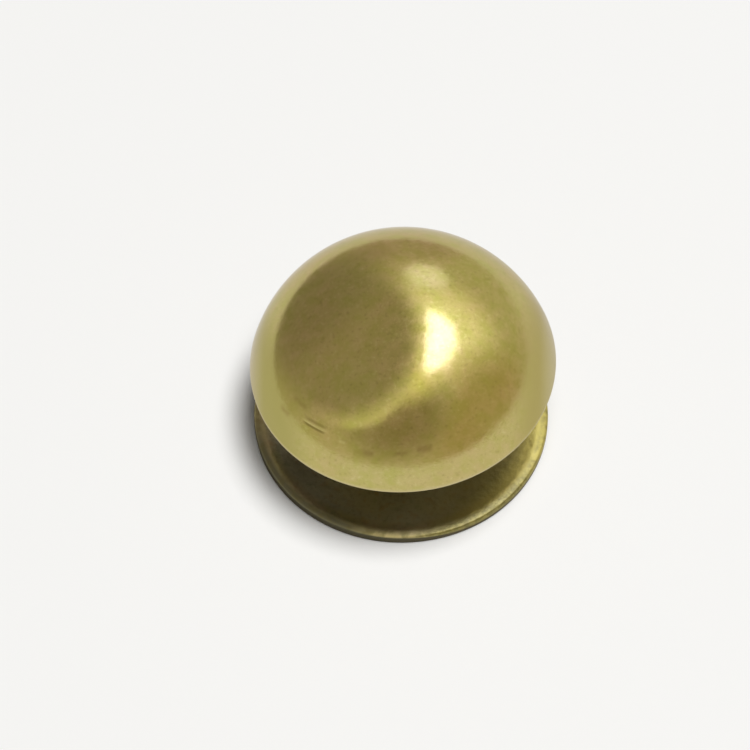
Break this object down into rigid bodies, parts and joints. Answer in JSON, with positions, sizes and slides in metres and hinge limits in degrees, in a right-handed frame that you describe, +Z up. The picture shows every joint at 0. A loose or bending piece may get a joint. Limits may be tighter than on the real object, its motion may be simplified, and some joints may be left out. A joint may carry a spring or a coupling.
{
  "type": "solid rivet",
  "caption": "Domed brass rivet: a solid round head with a flat underside, pushed onto the post of a thin round flange and slightly tipped, as before setting.",
  "frame": {"origin": "centre of the flange's flat underside, on the post's axis", "axes": "+Z up along the post, from the flange to the head; the head leans towards -X; +Y points away from the viewer"},
  "size_m": [0.01, 0.01, 0.0072],
  "materials": {
    "base_brass": "satin, tumbled, slightly dulled",
    "head_brass": "satin, tumbled, with faint mottling"
  },
  "bodies": {
    "root": {"base_post": "base_brass", "domed_head": "head_brass"}
  },
  "joints": []
}
